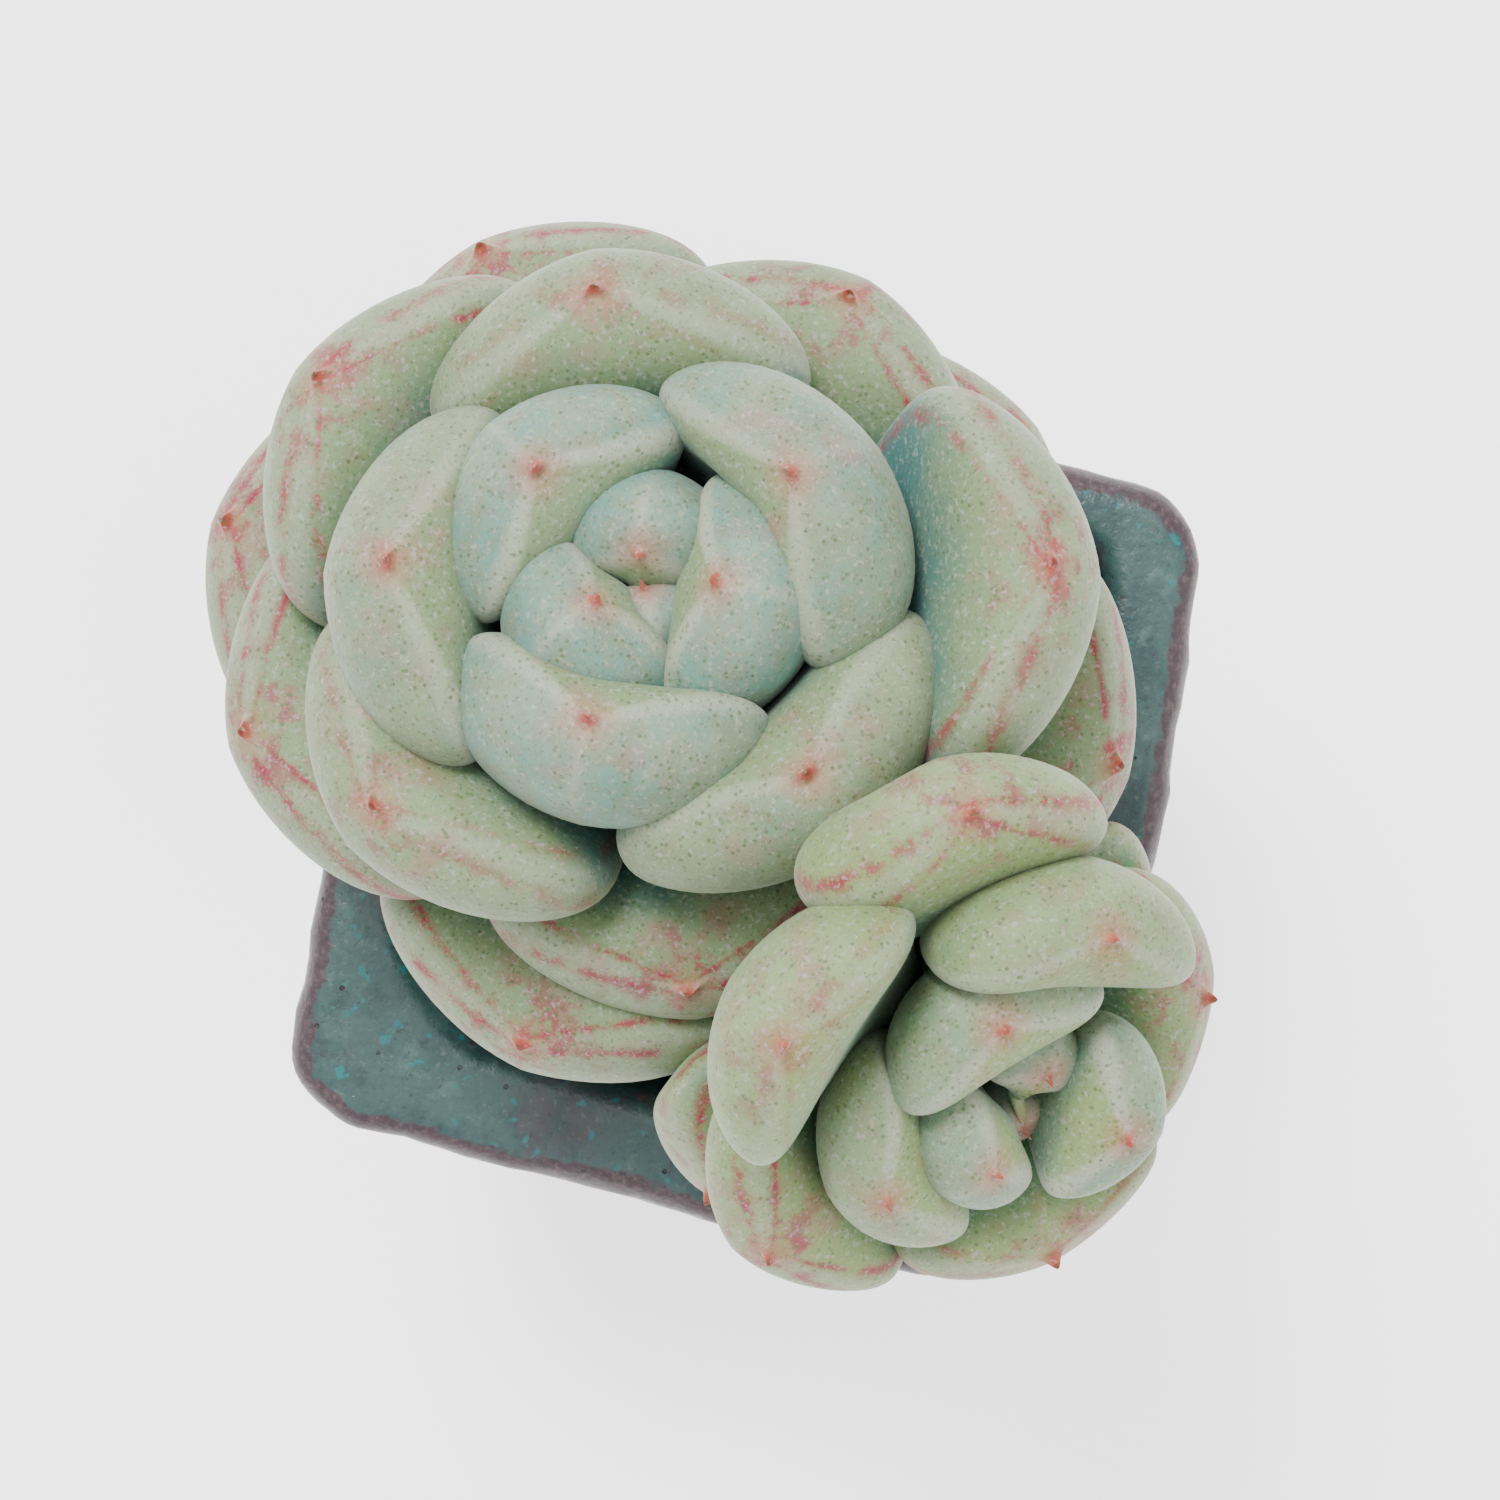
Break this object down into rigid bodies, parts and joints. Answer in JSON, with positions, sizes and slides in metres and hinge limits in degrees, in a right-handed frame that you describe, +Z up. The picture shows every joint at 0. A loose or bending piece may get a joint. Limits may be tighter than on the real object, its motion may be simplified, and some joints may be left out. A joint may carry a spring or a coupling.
{
  "type": "potted succulent",
  "caption": "Fleshy blue-green rosette succulent with one smaller offset rosette, growing in a square hand-built pot with a mottled teal glaze.",
  "frame": {"origin": "centre of the pot's flat underside, on the surface that the pot stands on", "axes": "+Z up out of the pot; the pot's sides face X and Y, and the offset rosette leans towards +X and -Y"},
  "size_m": [0.1022, 0.096, 0.1342],
  "materials": {
    "glaze": "mottled teal glaze over iron-brown edges, semi-gloss",
    "soil": "dark gritty potting mix, matt",
    "stem": "fleshy scarred stem, matt",
    "main_leaf": "fleshy leaf with a powdery blue-green bloom and pale pink margins, satin",
    "offset_leaf": "fleshy yellow-green leaf with a powdery bloom and pink margins, satin"
  },
  "bodies": {
    "root": {"pot": "glaze", "soil": "soil", "main_stem": "stem", "offset_stem": "stem", "main_leaf_01": "main_leaf", "main_leaf_02": "main_leaf", "main_leaf_03": "main_leaf", "main_leaf_04": "main_leaf", "main_leaf_05": "main_leaf", "main_leaf_06": "main_leaf", "main_leaf_07": "main_leaf", "main_leaf_08": "main_leaf", "main_leaf_09": "main_leaf", "main_leaf_10": "main_leaf", "main_leaf_11": "main_leaf", "main_leaf_12": "main_leaf", "main_leaf_13": "main_leaf", "main_leaf_14": "main_leaf", "main_leaf_15": "main_leaf", "main_leaf_16": "main_leaf", "main_leaf_17": "main_leaf", "main_leaf_18": "main_leaf", "main_leaf_19": "main_leaf", "main_leaf_20": "main_leaf", "main_leaf_21": "main_leaf", "main_leaf_22": "main_leaf", "offset_leaf_01": "offset_leaf", "offset_leaf_02": "offset_leaf", "offset_leaf_03": "offset_leaf", "offset_leaf_04": "offset_leaf", "offset_leaf_05": "offset_leaf", "offset_leaf_06": "offset_leaf", "offset_leaf_07": "offset_leaf", "offset_leaf_08": "offset_leaf", "offset_leaf_09": "offset_leaf", "offset_leaf_10": "offset_leaf", "offset_leaf_11": "offset_leaf", "offset_leaf_12": "offset_leaf", "offset_leaf_14": "offset_leaf", "offset_leaf_15": "offset_leaf", "offset_leaf_16": "offset_leaf"}
  },
  "joints": []
}
